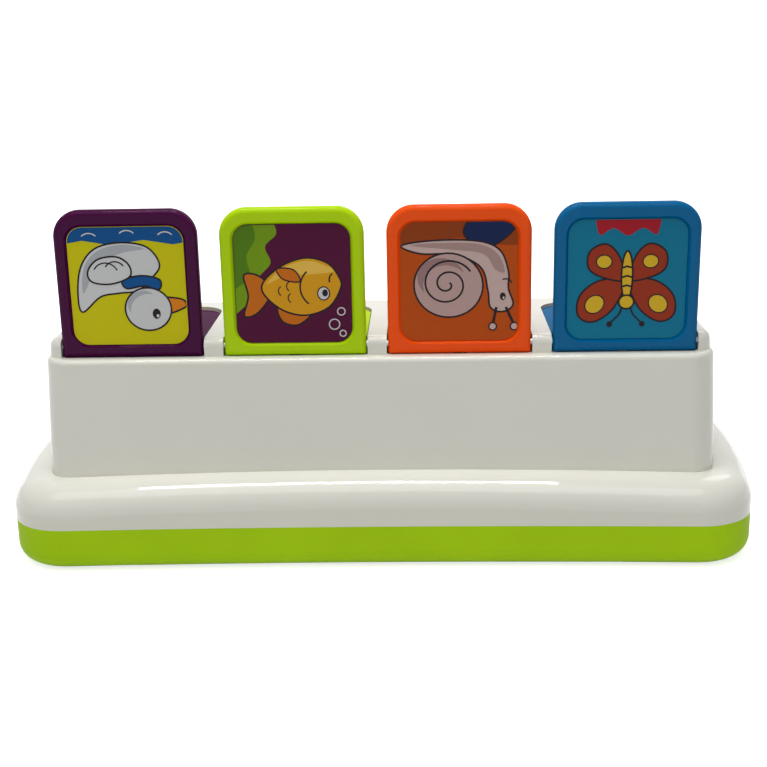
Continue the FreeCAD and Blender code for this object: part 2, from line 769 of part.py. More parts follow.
def make_label():
    width = window_width - 2 * window_bevel - 2 * label_gap
    height = window_height - 2 * window_bevel - 2 * label_gap
    radius = window_corner_radius - window_bevel - label_gap
    bottom = lid_bottom_z + window_bottom + window_bevel + label_gap
    seat_y = lid_outer_y - window_depth
    return lid_slab(width, height, bottom, [radius] * 4, seat_y + label_thickness, seat_y)


# ---------------------------------------------------------------- springs and rods

def torsion_spring(inner_radius, turns, lead, stub, tilt):
    """Coil of square wire round the X axis from x=0, with a straight lead towards -Y from its
    lowest point and a shorter stub at its other end, all turned down by tilt."""
    half = spring_wire / 2
    radius = inner_radius + half
    helix = Part.makeHelix(spring_pitch, spring_pitch * turns, radius)
    corners = [V(radius + a * half, 0, b * half) for a, b in ((-1, -1), (1, -1), (1, 1), (-1, 1))]
    profile = Part.makePolygon(corners + corners[:1])
    coil = Part.Wire(helix).makePipeShell([profile], True, True)
    straight = box(radius - half, radius + half, -lead, 0.3, -half, half)
    end = box(radius - half, radius + half, -0.3, stub, -half, half)
    end.rotate(V(0, 0, 0), V(0, 0, 1), 360 * (turns % 1))
    end.translate(V(0, 0, spring_pitch * turns))
    spring = coil.fuse([straight, end])
    spring.rotate(V(0, 0, 0), V(0, 1, 0), 90)
    spring.rotate(V(0, 0, 0), V(1, 0, 0), tilt)
    return spring


def make_lid_spring():
    spring = torsion_spring(rod_radius + spring_gap, lid_spring_turns, lid_lead_length,
                            lid_stub_length, -lid_lead_lift)
    spring.translate(V(-lid_spring_turns * spring_pitch / 2, hinge_y, hinge_z))
    return spring


def make_latch_spring():
    spring = torsion_spring(journal_radius + spring_gap, latch_spring_turns, latch_lead_length,
                            latch_stub_length, math.degrees(arm_drop()))
    middle = (journal_start + journal_end - latch_spring_turns * spring_pitch) / 2
    spring.translate(V(middle, latch_pivot_y, latch_pivot_z))
    return spring


# ---------------------------------------------------------------- latches

def arm_drop():
    """Angle below level of the control arm's middle line."""
    tip_y, tip_z = panel_point(0, -arm_depth)
    return math.atan2(latch_pivot_z - tip_z, latch_pivot_y - tip_y)


def make_latch():
    """Bell crank in the middle of the toy: hub, hook arm, control arm, pad and nose."""
    hub = fuse_all(crossbar(journal_radius, hub_left, hub_right, latch_pivot_y, latch_pivot_z),
                   [crossbar(hub_radius, hub_left, journal_start, latch_pivot_y, latch_pivot_z),
                    crossbar(hub_radius, journal_end, hub_right, latch_pivot_y, latch_pivot_z)])
    under_z = hinge_z - catch_drop + barb_height + hook_gap
    shank_y = barb_tip_y - barb_bite
    front = latch_pivot_y - hub_radius + 0.3
    back = latch_pivot_y + hub_radius - 0.3
    shoulder_z = latch_pivot_z + hook_shank
    top_z = under_z + hook_height
    hook_points = ((back, latch_pivot_z), (back, shoulder_z), (shank_y, under_z - hook_shank),
                   (shank_y, under_z), (barb_tip_y + hook_overlap, under_z), (shank_y, top_z),
                   (shank_y - hook_shank, top_z), (front, shoulder_z), (front, latch_pivot_z))
    hook = side_profile(hook_points, -hook_width / 2, hook_width / 2)
    half = arm_thickness / 2
    pad_reach = cam_width / 2
    arm_points = (panel_point(-pad_reach, -arm_depth - half),
                  panel_point(-pad_reach, -arm_depth + half),
                  (latch_pivot_y, latch_pivot_z + half), (latch_pivot_y, latch_pivot_z - half))
    arm = side_profile(arm_points, hub_left, hub_left + arm_width)
    lug_low = -journal_radius - spring_gap
    lug = box(hub_left + 1, journal_end - 0.4, -lug_start - lug_length, -lug_start, lug_low,
              -half + 0.5)
    lug.rotate(V(0, 0, 0), V(1, 0, 0), math.degrees(arm_drop()))
    lug.translate(V(0, latch_pivot_y, latch_pivot_z))
    nose_n = -nose_depth - nose_radius
    pad = box(hub_left, nose_radius + pad_margin, -pad_reach, pad_reach, -arm_depth - half,
              -arm_depth + half)
    nose = Part.makeCylinder(nose_radius, cam_width, V(0, -pad_reach, nose_n), V(0, 1, 0))
    neck = box(-nose_radius, nose_radius, -pad_reach, pad_reach, -arm_depth, nose_n)
    crank = fuse_all(hub, [hook, arm, lug, on_panel(fuse_all(pad, [nose, neck]), 0)])
    return crank.cut(crossbar(rod_radius + running_gap, hub_left - 1, hub_right + 1,
                              latch_pivot_y, latch_pivot_z))


# ---------------------------------------------------------------- controls, in the panel's frame

def make_push_button():
    """Domed cap with a retaining flange under the panel and a stem to the latch."""
    low = -wall - under_gap
    radius = button_radius()
    cap = upright(radius, low - button_flange, button_proud)
    ball_radius = (radius ** 2 + button_dome ** 2) / (2 * button_dome)
    cap = cap.common(Part.makeSphere(ball_radius, V(0, 0, button_proud - ball_radius)))
    rim = [e for e in cap.Edges if e.BoundBox.ZMin > 0 and len(e.Vertexes) == 1]
    cap = cap.makeFillet(button_round, rim)
    under_z = button_proud - button_dome - wall
    hollow = upright(radius - wall, low - button_flange - 1, under_z)
    flange = upright(radius + button_flange, low - button_flange, low)
    stem = upright(stem_radius, -nose_depth + under_gap, under_z + wall / 2, 0, -button_offset)
    return fuse_all(cap, [flange]).cut(hollow).fuse(stem).removeSplitter()


def make_slide_switch():
    """Thumb piece on a plate under the panel, with a wedge for the latch. It rests at +X."""
    rest_x = slide_travel / 2
    top = -wall - under_gap
    plate_half_x = slide_travel + slide_neck_length / 2 + slide_plate_end
    plate_half_s = slide_plate_width / 2
    plate = slab(-plate_half_x, plate_half_x, -plate_half_s, plate_half_s, [slide_radius] * 4,
                 top - slide_plate, top)
    thumb_low = rim_height + under_gap
    neck = slab(-slide_neck_length / 2, slide_neck_length / 2, -slide_neck_width / 2,
                slide_neck_width / 2, [slide_radius] * 4, top - 0.5, thumb_low + 1)
    half_x = thumb_length / 2
    half_s = thumb_width / 2
    thumb = slab(-half_x, half_x, -half_s, half_s, [thumb_radius] * 4, thumb_low, thumb_height)
    thumb = thumb.makeFillet(thumb_round, edges_at(thumb, thumb_height))
    ridge_s = half_s - thumb_ridge_inset
    ridges = []
    for x in (-thumb_ridge_pitch, 0, thumb_ridge_pitch):
        ridges.append(box(x - thumb_ridge / 2, x + thumb_ridge / 2, -ridge_s, ridge_s,
                          thumb_height - 1, thumb_height + thumb_ridge_height))
    rise = control_travel / slide_travel
    first = -nose_depth + cam_gap
    root = top - slide_plate + 0.5
    end = rest_x + slide_lead
    outline = ((-end, root), (-end, first), (-rest_x, first),
               (end, first - (rest_x + end) * rise), (end, root))
    corners = [V(x, -cam_width / 2 - 1, n) for x, n in outline]
    wedge = Part.Face(Part.makePolygon(corners + corners[:1])).extrude(V(0, cam_width + 2, 0))
    switch = fuse_all(plate, [neck, thumb, wedge] + ridges)
    switch.translate(V(rest_x, 0, 0))
    return switch


def make_dial_cam():
    """Disc under the panel with a helical ramp, and the shaft that carries the knob."""
    top = -wall - under_gap
    disc = upright(dial_cam_radius, top - slide_plate, top)
    shaft = upright(dial_shaft_radius, top, dial_shaft_height)
    inner = dial_offset - cam_width / 2
    first = -nose_depth + cam_gap
    pitch = control_travel * 360 / dial_turn
    rise = pitch / 360
    helix = Part.makeHelix(pitch, (dial_turn + 2 * cam_lead) * rise, dial_offset, 0, True)
    outer = inner + cam_width
    corners = [V(inner, 0, 0), V(outer, 0, 0), V(outer, 0, cam_depth), V(inner, 0, cam_depth)]
    profile = Part.makePolygon(corners + corners[:1])
    ramp = Part.Wire(helix).makePipeShell([profile], True, True)
    # turned over, so that it falls as it goes round from below the axis towards +X
    ramp.rotate(V(0, 0, 0), V(1, 0, 0), 180)
    ramp.rotate(V(0, 0, 0), V(0, 0, 1), -90 - cam_lead)
    ramp.translate(V(0, 0, first + cam_lead * rise + cam_depth))
    ramp = ramp.common(upright(dial_cam_radius, -2 * cam_depth, top - slide_plate / 2))
    return fuse_all(disc, [shaft, ramp])


def make_dial_knob():
    """Round knob with a grip bar across it."""
    low = rim_height / 2 + under_gap
    high = low + dial_height
    body = upright(dial_radius, low, high)
    body = body.makeFillet(dial_round, edges_at(body, high))
    half_x = dial_bar_width / 2
    half_s = dial_radius - dial_bar_inset
    bar_top = high + dial_bar_height
    bar = slab(-half_x, half_x, -half_s, half_s, [half_x - 0.1] * 4, high - dial_round, bar_top)
    bar = bar.makeFillet(dial_bar_round, edges_at(bar, bar_top))
    knob = fuse_all(body, [bar])
    return knob.cut(upright(dial_shaft_radius, low - 1, dial_shaft_height))


def make_flip_lever():
    """Lever on a drum under the panel, leaning back at rest, with a heel for the latch's nose."""
    pivot_n = -lever_pivot_depth
    drum = crossbar(drum_radius, -drum_half_width, drum_half_width, 0, pivot_n)
    half_x = lever_blade_width / 2
    half_s = lever_blade / 2
    end_n = pivot_n + lever_length
    blade = box(-half_x, half_x, -half_s, half_s, pivot_n, end_n)
    half_x = grip_width / 2
    half_s = grip_thickness / 2
    top_n = end_n + grip_end
    grip = slab(-half_x, half_x, -half_s, half_s, [half_s - 0.1] * 4, end_n - grip_start, top_n)
    grip = grip.makeFillet(grip_round, edges_at(grip, top_n))
    handle = fuse_all(blade, [grip])
    handle.rotate(V(0, 0, pivot_n), V(1, 0, 0), -lever_turn / 2)
    tip_n = -nose_depth + under_gap + nose_radius
    half_n = nose_radius - heel_step
    half_x = heel_width / 2
    web = box(-half_x, half_x, -lever_pivot_s, 0, tip_n - half_n, tip_n + half_n)
    heel_nose = crossbar(nose_radius, -half_x, half_x, -lever_pivot_s, tip_n)
    lever = fuse_all(drum, [handle, web, heel_nose])
    return lever.cut(crossbar(lever_pin_radius + running_gap, -drum_half_width - 1,
                              drum_half_width + 1, 0, pivot_n))


# ---------------------------------------------------------------- pop up figures
# Drawn as (x, height above the floor panel, distance in front of the hinge axis).

def stand_up(shape):
    """Turns a figure's shape upright and puts it on the floor panel in the middle of the toy."""
    placed = shape.copy()
    placed.rotate(V(0, 0, 0), V(1, 0, 0), 90)
    placed.translate(V(0, hinge_y, floor_top_z))
    return placed


def oval(x, height, long_half, short_half, back, front, tilt=0.0, soft=0.8):
    """Pad with a bevelled front edge and an outline of four arcs, its long axis tilted from
    level."""
    if long_half == short_half:
        pad = upright(long_half, back, front)
    else:
        end = short_half * oval_end
        side = ((long_half - end) ** 2 + short_half ** 2 - end ** 2) / (2 * (short_half - end))
        centre = V(long_half - end, 0, back)
        far = V(0, short_half - side, back)
        mark = far + (centre - far).normalize() * side
        marks = [mark, V(-mark.x, mark.y, back), V(-mark.x, -mark.y, back), V(mark.x, -mark.y, back)]
        bends = [V(0, short_half, back), V(-long_half, 0, back), V(0, -short_half, back),
                 V(long_half, 0, back)]
        arcs = [Part.Arc(marks[i], bends[i], marks[(i + 1) % 4]).toShape() for i in range(4)]
        pad = Part.Face(Part.Wire(arcs)).extrude(V(0, 0, front - back))
    pad = pad.makeChamfer(soft, edges_at(pad, front))
    pad.rotate(V(0, 0, 0), V(0, 0, 1), tilt)
    pad.translate(V(x, height, 0))
    return pad


def disc(x, height, radius, back, front, soft=0.8):
    return oval(x, height, radius, radius, back, front, 0.0, soft)


def bar(x0, h0, x1, h1, width, back, front):
    """Straight bar between two points of the figure."""
    length = math.hypot(x1 - x0, h1 - h0)
    rod = box(0, length, -width / 2, width / 2, back, front)
    rod.rotate(V(0, 0, 0), V(0, 0, 1), math.degrees(math.atan2(h1 - h0, x1 - x0)))
    rod.translate(V(x0, h0, 0))
    return rod


def make_duck():
    """Duck in side view, and its beak and feet."""
    body = fuse_all(oval(2, 17, 20, 12.5, 8, 17, 0, 2), [
        disc(-10, 34, 10.5, 8.5, 18, 2), oval(18, 25, 9, 4.5, 9, 16, 50),
        oval(5, 18, 10, 6.5, 15, 19.5, 8, 1.5)])
    beak = oval(-21, 32, 7, 3.6, 10, 16, -6)
    feet = box(-8, 12, 0, 6, 9, 16)
    return body, Part.makeCompound([beak.cut(body), feet.cut(body)])


def make_fish():
    """Fish in side view, and its tail, fins and stand."""
    body = oval(-4, 26, 19, 13, 8, 18.2, 0, 3)
    fins = fuse_all(oval(19, 33, 9.5, 5, 10, 14.5, 48), [
        oval(19, 19, 9.5, 5, 10.5, 15, -48), disc(14, 26, 5, 9.5, 14),
        oval(-2, 38, 10, 5, 11, 15.5, -8), box(-10, 10, 0, 3, 8, 19),
        box(-3, 3, 1, 16, 10, 14.5)])
    return body, fins.cut(body)


def make_snail():
    """Snail's house of stacked whorls, and its foot, head and horns."""
    house = fuse_all(disc(6, 22, 16, 7, 16, 2), [disc(5, 21, 11, 15, 18.6, 1.5),
                                                 disc(4, 20.4, 6, 17, 21, 1.5)])
    body = fuse_all(oval(0, 5.2, 25, 5, 8, 18, 0, 1.5), [
        oval(-18, 17, 12, 5.5, 9, 17, 97), disc(-19, 27, 7, 9.5, 17.5, 1.5),
        bar(-21, 31, -24, 42, 2.4, 12, 14.4), bar(-17, 31, -14, 42, 2.4, 12.4, 14.8),
        box(-20, 20, 0, 4, 9, 17)])
    return house, body.cut(house)


def make_butterfly():
    """Butterfly from above: wings with raised spots, and its body, feelers and stand."""
    wings = []
    for side in (-1, 1):
        wings += [disc(side * 12, 31, 12, 9, 13), disc(side * 9.5, 14.5, 9, 9.5, 13.5),
                  disc(side * 13.5, 32, 5, 12, 14.5), disc(side * 10.5, 14, 3.5, 12.5, 15)]
    body = fuse_all(oval(0, 23, 18, 3.6, 8, 16.5, 90, 1.5), [
        disc(0, 39, 5, 8.5, 17.5, 1.5), bar(-1, 42, -7, 47.5, 2, 12, 14),
        bar(1, 42, 7, 47.5, 2, 12.4, 14.4), box(-2.5, 2.5, 0, 8, 9, 16),
        box(-8, 8, 0, 3, 8.5, 18)])
    return fuse_all(wings[0], wings[1:]).cut(body), body


FIGURES = (("duck_body", "duck_trim", make_duck), ("fish_body", "fish_fins", make_fish),
           ("snail_house", "snail_body", make_snail),
           ("butterfly_wings", "butterfly_body", make_butterfly))


def main():
    os.makedirs("parts", exist_ok=True)
    export("upper_shell", make_upper_shell())
    export("base_tray", make_base_tray())
    export("screws", make_screws())
    export("rubber_feet", make_feet())
    export("hinge_rod", make_hinge_rod())
    export("latch_rod", make_latch_rod())
    export("lever_pin", make_lever_pin())
    repeated = (("lid_", make_lid()), ("label_", make_label()), ("latch_", make_latch()),
                ("lid_spring_", make_lid_spring()), ("latch_spring_", make_latch_spring()))
    for colour, x in zip(COLOURS, lid_centres):
        for name, shape in repeated:
            placed = shape.copy()
            placed.translate(V(x, 0, 0))
            export(name + colour, placed)
    for (main_name, trim_name, make), x in zip(FIGURES, lid_centres):
        for name, shape in zip((main_name, trim_name), make()):
            placed = stand_up(shape)
            placed.translate(V(x, 0, 0))
            export(name, placed)
    export("push_button", on_panel(make_push_button(), lid_centres[0], button_offset))
    export("slide_switch", on_panel(make_slide_switch(), lid_centres[1]))
    export("dial_knob", on_panel(make_dial_knob(), lid_centres[2], dial_offset))
    export("dial_cam", on_panel(make_dial_cam(), lid_centres[2], dial_offset))
    export("flip_lever", on_panel(make_flip_lever(), lid_centres[3], lever_pivot_s))


main()
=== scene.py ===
"""Looks of the pop up toy: plastics, prints on the lids, light, floor and camera.

The prints are drawn in millimetres. The floor and the lamps have their places in metres.
"""
import math

import bmesh
import bpy
from mathutils import Matrix, Vector
from mathutils.geometry import tessellate_polygon


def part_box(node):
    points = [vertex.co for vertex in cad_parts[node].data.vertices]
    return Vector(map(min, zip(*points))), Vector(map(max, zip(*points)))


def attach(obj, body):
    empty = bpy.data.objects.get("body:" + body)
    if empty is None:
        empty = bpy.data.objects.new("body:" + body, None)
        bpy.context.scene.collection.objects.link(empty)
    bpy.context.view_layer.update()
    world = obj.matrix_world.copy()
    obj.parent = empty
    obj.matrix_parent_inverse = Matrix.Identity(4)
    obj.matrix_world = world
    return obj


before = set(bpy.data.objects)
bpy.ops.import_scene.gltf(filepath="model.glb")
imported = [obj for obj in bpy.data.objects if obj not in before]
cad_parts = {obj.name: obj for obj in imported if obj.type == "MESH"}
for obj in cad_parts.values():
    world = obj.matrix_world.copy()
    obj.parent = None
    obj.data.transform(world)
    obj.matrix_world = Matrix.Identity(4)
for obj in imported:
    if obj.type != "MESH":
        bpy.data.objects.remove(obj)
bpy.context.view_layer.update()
scene = bpy.context.scene
scene.view_settings.view_transform = "Standard"

MM = 0.001
TINY = 1e-6
WHITE = (1, 1, 1, 1)
COLOURS = ("purple", "green", "orange", "blue")

# camera: angles in degrees, the rest in millimetres
CAMERA_PLACE = (-20.838, 610.111, 238.967)
CAMERA_PITCH = 16.071
CAMERA_YAW = -1.912
CAMERA_ROLL = -1.156
CAMERA_LENS = 59.976
SENSOR_WIDTH = 36

# plastics
CLOUD_SCALE = 28                 # clouding of the colour
CLOUD_DETAIL = 3
CLOUD_LOW = 0.35
CLOUD_HIGH = 0.65
RIPPLE_SCALE = 160               # unevenness of the roughness
RIPPLE_DETAIL = 4
RIPPLE_LOW = 0.8
RIPPLE_HIGH = 1.25
GRAIN_SCALE = 900                # fine grain of the surface
GRAIN_DEPTH = 0.0004
PLASTIC_IOR = 1.46
COAT_ROUGHNESS = 0.05

# prints, in millimetres
DRAWN_HALF = 24.5                # half width of the plate that the drawings are made for
BORDER_GAP = 0.25                # from the plate's edge to the ink
BORDER_RADIUS = 6.6
FIRST_LAYER = 0.02               # height of the ink over the plate
LAYER_STEP = 0.006

# floor and sky
FLOOR_HALF = 6.0
FLOOR_GREY = 0.75
FLOOR_ROUGHNESS = 0.9
GLOW_NEAR = 0.76                 # the floor's glow within GLOW_START of the toy's middle
GLOW_START = 0.25
GLOW_FULL = 0.6                  # from here on the glow is 1
SKY_STRENGTH = 0.2
BACKGROUND_STRENGTH = 1.1        # a little past white, because denoising darkens the top row

LAMPS = (
    {"name": "key", "place": (0.2, 0.75, 1.6), "target": (0, 0, 0.08),
     "width": 1.6, "height": 1.0, "watts": 10.5},
    {"name": "panel", "place": (0.1, 0.03, 1.5), "target": (0.1, 0.03, 0),
     "width": 0.7, "height": 0.08, "watts": 5},
    {"name": "panel", "place": (0.1, 0.2, 1.5), "target": (0.1, 0.2, 0),
     "width": 0.7, "height": 0.08, "watts": 5},
    {"name": "front", "place": (-0.4, -1.2, 1.1), "target": (0, 0, 0.08),
     "width": 1.2, "height": 0.8, "watts": 5},
)

# colours of the screen, 0 to 255
LID_COLOURS = {
    "purple": (72, 0, 62),
    "green": (186, 227, 4),
    "orange": (255, 86, 12),
    "blue": (0, 102, 156),
}
GROUND_COLOURS = {
    "purple": (212, 204, 0),
    "green": (84, 0, 54),
    "orange": (192, 78, 0),
    "blue": (0, 120, 154),
}
INK_COLOURS = {
    "outline": (38, 30, 36),
    "pale": (212, 213, 214),
    "pale_shade": (176, 180, 186),
    "beak": (226, 132, 20),
    "lake": (0, 84, 150),
    "scarf": (0, 84, 150),
    "weed": (120, 160, 10),
    "weed_shade": (84, 130, 10),
    "fish": (224, 160, 20),
    "fish_belly": (236, 192, 80),
    "fin": (206, 110, 16),
    "earth": (150, 62, 6),
    "navy": (16, 34, 84),
    "snail": (206, 178, 172),
    "snail_shade": (172, 142, 138),
    "shell": (192, 160, 156),
    "shell_shade": (156, 122, 122),
    "poppy": (176, 22, 40),
    "wing": (158, 52, 24),
    "spot": (222, 182, 40),
}


# ---------------------------------------------------------------- camera

def place_camera():
    """Camera behind the toy, a little above it."""
    pitch = math.radians(CAMERA_PITCH)
    yaw = math.radians(CAMERA_YAW)
    roll = math.radians(CAMERA_ROLL)
    ahead = Vector((-math.sin(yaw) * math.cos(pitch), -math.cos(yaw) * math.cos(pitch), -math.sin(pitch)))
    side = Vector((-math.cos(yaw), math.sin(yaw), 0))
    above = side.cross(ahead)
    right = side * math.cos(roll) + above * math.sin(roll)
    up = above * math.cos(roll) - side * math.sin(roll)
    data = bpy.data.cameras.new("camera")
    data.sensor_width = SENSOR_WIDTH
    data.lens = CAMERA_LENS
    camera = bpy.data.objects.new("camera", data)
    scene.collection.objects.link(camera)
    place = Matrix((right, up, -ahead)).transposed().to_4x4()
    place.translation = Vector(CAMERA_PLACE) * MM
    camera.matrix_world = place
    scene.camera = camera


# ---------------------------------------------------------------- materials

def linear(rgb):
    """Screen colour, 0 to 255, as Blender's linear colour."""
    values = [c / 255 for c in rgb]
    return [c / 12.92 if c <= 0.04045 else ((c + 0.055) / 1.055) ** 2.4 for c in values] + [1]


def with_values(node, values):
    """The shader node, with these values on its inputs."""
    for name, value in values.items():
        node.inputs[name].default_value = value
    return node


def plastic(name, rgb, roughness, shade=0.94, grain=0.02, gloss=0.15):
    """Moulded plastic: its colour clouds down to shade, its roughness is a little uneven, its
    surface has fine grain, and its gloss comes from a thin clear coat."""
    material = bpy.data.materials.new(name)
    material.use_nodes = True
    nodes = material.node_tree.nodes
    links = material.node_tree.links
    shader = with_values(nodes["Principled BSDF"], {
        "IOR": PLASTIC_IOR,
        "Specular IOR Level": 0,
        "Coat Weight": gloss,
        "Coat Roughness": COAT_ROUGHNESS,
    })
    place = nodes.new("ShaderNodeTexCoord")
    cloud = with_values(nodes.new("ShaderNodeTexNoise"), {"Scale": CLOUD_SCALE, "Detail": CLOUD_DETAIL})
    ripple = with_values(nodes.new("ShaderNodeTexNoise"), {"Scale": RIPPLE_SCALE, "Detail": RIPPLE_DETAIL})
    grit = with_values(nodes.new("ShaderNodeTexNoise"), {"Scale": GRAIN_SCALE})
    for noise in (cloud, ripple, grit):
        links.new(place.outputs["Object"], noise.inputs["Vector"])
    ramp = nodes.new("ShaderNodeValToRGB")
    dark, light = ramp.color_ramp.elements
    dark.position = CLOUD_LOW
    light.position = CLOUD_HIGH
    colour = linear(rgb)
    dark.color = [c * shade for c in colour[:3]] + [1]
    light.color = colour
    links.new(cloud.outputs["Fac"], ramp.inputs["Fac"])
    links.new(ramp.outputs["Color"], shader.inputs["Base Color"])
    spread = with_values(nodes.new("ShaderNodeMapRange"), {
        "To Min": roughness * RIPPLE_LOW,
        "To Max": roughness * RIPPLE_HIGH,
    })
    links.new(ripple.outputs["Fac"], spread.inputs["Value"])
    links.new(spread.outputs["Result"], shader.inputs["Roughness"])
    bump = with_values(nodes.new("ShaderNodeBump"), {"Strength": grain, "Distance": GRAIN_DEPTH})
    links.new(grit.outputs["Fac"], bump.inputs["Height"])
    links.new(bump.outputs["Normal"], shader.inputs["Normal"])
    return material


def metal(name, rgb, roughness):
    """Drawn steel, bare."""
    material = plastic(name, rgb, roughness, shade=0.85, grain=0.1, gloss=0)
    with_values(material.node_tree.nodes["Principled BSDF"], {"Metallic": 1})
    return material


def rubber(name, rgb):
    """Dull rubber with a rough grain."""
    return plastic(name, rgb, 0.75, shade=0.8, grain=0.4, gloss=0)


def printed(name, rgb):
    """Flat ink under a clear film."""
    return plastic(name, rgb, 0.3, shade=0.97, grain=0.05)


def dress(node, material):
    """Gives a CAD node its material."""
    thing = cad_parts[node]
    thing.data.materials.clear()
    thing.data.materials.append(material)


# ---------------------------------------------------------------- curves of the prints

def smooth(points, steps=6):
    """Closed soft curve through points."""
    curve = []
    count = len(points)
    for i in range(count):
        p0, p1, p2, p3 = (Vector(points[(i + k) % count]) for k in (-1, 0, 1, 2))
        for j in range(steps):
            t = j / steps
            curve.append(0.5 * (2 * p1 + (p2 - p0) * t + (2 * p0 - 5 * p1 + 4 * p2 - p3) * t ** 2
                                + (3 * p1 - p0 - 3 * p2 + p3) * t ** 3))
    return curve


def ellipse(x, y, rx, ry, tilt=0.0, steps=36):
    """Closed curve, tilted by some degrees."""
    turn = math.radians(tilt)
    curve = []
    for i in range(steps):
        angle = math.tau * i / steps
        dx = rx * math.cos(angle)
        dy = ry * math.sin(angle)
        curve.append(Vector((x + dx * math.cos(turn) - dy * math.sin(turn),
                             y + dx * math.sin(turn) + dy * math.cos(turn))))
    return curve


def arc(x, y, radius, start, end, steps=12):
    """Open curve: part of a circle, in degrees."""
    curve = []
    for i in range(steps + 1):
        angle = math.radians(start + (end - start) * i / steps)
        curve.append(Vector((x + radius * math.cos(angle), y + radius * math.sin(angle))))
    return curve


def spiral(x, y, radius, squash, start, step, steps, steps_to_middle):
    """Open curve that winds inwards. The angles start and step are in degrees."""
    curve = []
    for i in range(steps):
        angle = math.radians(start + i * step)
        reach = radius * (1 - i / steps_to_middle)
        curve.append(Vector((x + reach * math.cos(angle), y + reach * math.sin(angle) * squash)))
    return curve


def rounded(half_x, half_y, radius, steps=6):
    """Rounded rectangle, counter-clockwise."""
    curve = []
    for i, (sx, sy) in enumerate(((1, 1), (-1, 1), (-1, -1), (1, -1))):
        for j in range(steps + 1):
            angle = math.pi / 2 * (i + j / steps)
            curve.append(Vector((sx * (half_x - radius) + radius * math.cos(angle),
                                 sy * (half_y - radius) + radius * math.sin(angle))))
    return curve


def clip(points, border):
    """The part of a closed outline that is inside a convex border."""
    kept = list(points)
    for i, start in enumerate(border):
        edge = border[(i + 1) % len(border)] - start
        if edge.length < TINY:
            continue
        source = kept
        kept = []
        for j, p in enumerate(source):
            q = source[j - 1]
            depth_p = edge.cross(p - start)
            depth_q = edge.cross(q - start)
            if (depth_p >= 0) != (depth_q >= 0):
                kept.append(q + (p - q) * (depth_q / (depth_q - depth_p)))
            if depth_p >= 0:
                kept.append(p)
        if len(kept) < 3:
            return []
    return kept


# ---------------------------------------------------------------- prints on the lids

INKS = {name: printed("ink_" + name, rgb) for name, rgb in INK_COLOURS.items()}


class Print:
    """Flat coloured shapes on one lid's plate, from the plate's middle, drawn the way up that
    they have when the lid is shut, on a plate DRAWN_HALF wide to each side."""

    def __init__(self, colour):
        self.colour = colour
        low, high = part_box("label_" + colour)
        self.centre = (Vector(low) + Vector(high)) / 2
        self.face_y = high[1]
        half_x = (high[0] - low[0]) / 2 / MM
        half_z = (high[2] - low[2]) / 2 / MM
        self.unit = half_x / DRAWN_HALF
        self.border = rounded(half_x - BORDER_GAP, half_z - BORDER_GAP, BORDER_RADIUS)
        self.mesh = bmesh.new()
        self.inks = []
        self.layer = 0

    def ink(self, name):
        """Place of an ink among this print's materials."""
        if name not in self.inks:
            self.inks.append(name)
        return self.inks.index(name)

    def lay(self, points, ink):
        """Area of one colour on the layer in hand."""
        outline = clip([Vector(p) * self.unit for p in points], self.border)
        if not outline:
            return
        y = self.face_y + (FIRST_LAYER + LAYER_STEP * self.layer) * MM
        places = [Vector((self.centre.x + p.x * MM, y, self.centre.z - p.y * MM)) for p in outline]
        corners = [self.mesh.verts.new(p) for p in places]
        for triangle in tessellate_polygon([places]):
            if len(set(triangle)) < 3:
                continue
            try:
                face = self.mesh.faces.new([corners[i] for i in triangle])
            except ValueError:
                continue
            face.material_index = self.ink(ink)

    def fill(self, points, ink):
        """Area of one colour over all that is drawn so far."""
        self.layer += 1
        self.lay(points, ink)

    def line(self, points, width, ink="outline", closed=True):
        """Line of even width along a curve."""
        points = [Vector(p) for p in points]
        count = len(points)
        pairs = []
        for i, p in enumerate(points):
            before = points[i - 1] if closed or i else p
            after = points[(i + 1) % count] if closed or i < count - 1 else p
            way = after - before
            if way.length < TINY:
                continue
            across = Vector((-way.y, way.x)).normalized() * width / 2
            pairs.append((p + across, p - across))
        if closed:
            pairs.append(pairs[0])
        self.layer += 1
        for (a, b), (c, d) in zip(pairs, pairs[1:]):
            self.lay([a, b, d, c], ink)

    def shape(self, points, ink, width=0.75):
        """Area of one colour with a dark outline."""
        self.fill(points, ink)
        self.line(points, width)

    def finish(self):
        """Puts the print on its lid."""
        for face in self.mesh.faces:
            face.normal_update()
            if face.normal.y < 0:
                face.normal_flip()
        data = bpy.data.meshes.new("print_" + self.colour)
        self.mesh.to_mesh(data)
        self.mesh.free()
        for name in self.inks:
            data.materials.append(INKS[name])
        thing = bpy.data.objects.new("print_" + self.colour, data)
        scene.collection.objects.link(thing)
        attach(thing, "lid_" + self.colour)


